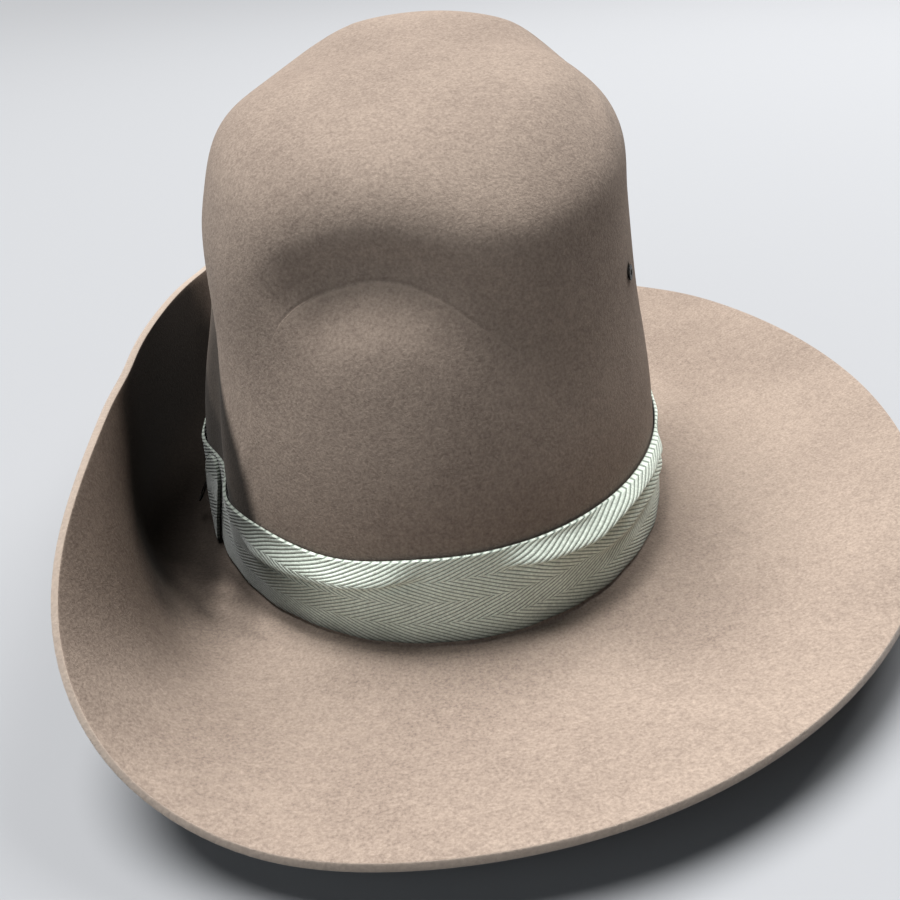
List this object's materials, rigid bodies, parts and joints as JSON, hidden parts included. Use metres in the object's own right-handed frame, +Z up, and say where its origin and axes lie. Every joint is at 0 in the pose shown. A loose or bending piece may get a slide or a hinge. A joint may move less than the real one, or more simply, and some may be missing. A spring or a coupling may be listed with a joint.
{
  "type": "slouch hat",
  "caption": "Tall-crowned felt slouch hat with a wide brim turned up at one side, an arched dent in the crown's face and a gathered herringbone tape band.",
  "frame": {"origin": "bottom centre of the hat's bounding box, on the surface that the flat ring under the brim rests on", "axes": "+X to the wearer's left, across the head, with the turned-up side of the brim towards -X; +Y from front to back, the crown's dented face looking towards -Y; +Z up out of the crown"},
  "size_m": [0.2826, 0.3806, 0.1669],
  "materials": {
    "felt": "fine matt nap",
    "tape": "herringbone weave",
    "black_metal": "blackened, half gloss"
  },
  "bodies": {
    "root": {"felt_body": "felt", "tape_band": "tape", "band_tab": "tape", "band_loop": "black_metal", "vent_eyelet": "black_metal"}
  },
  "joints": []
}
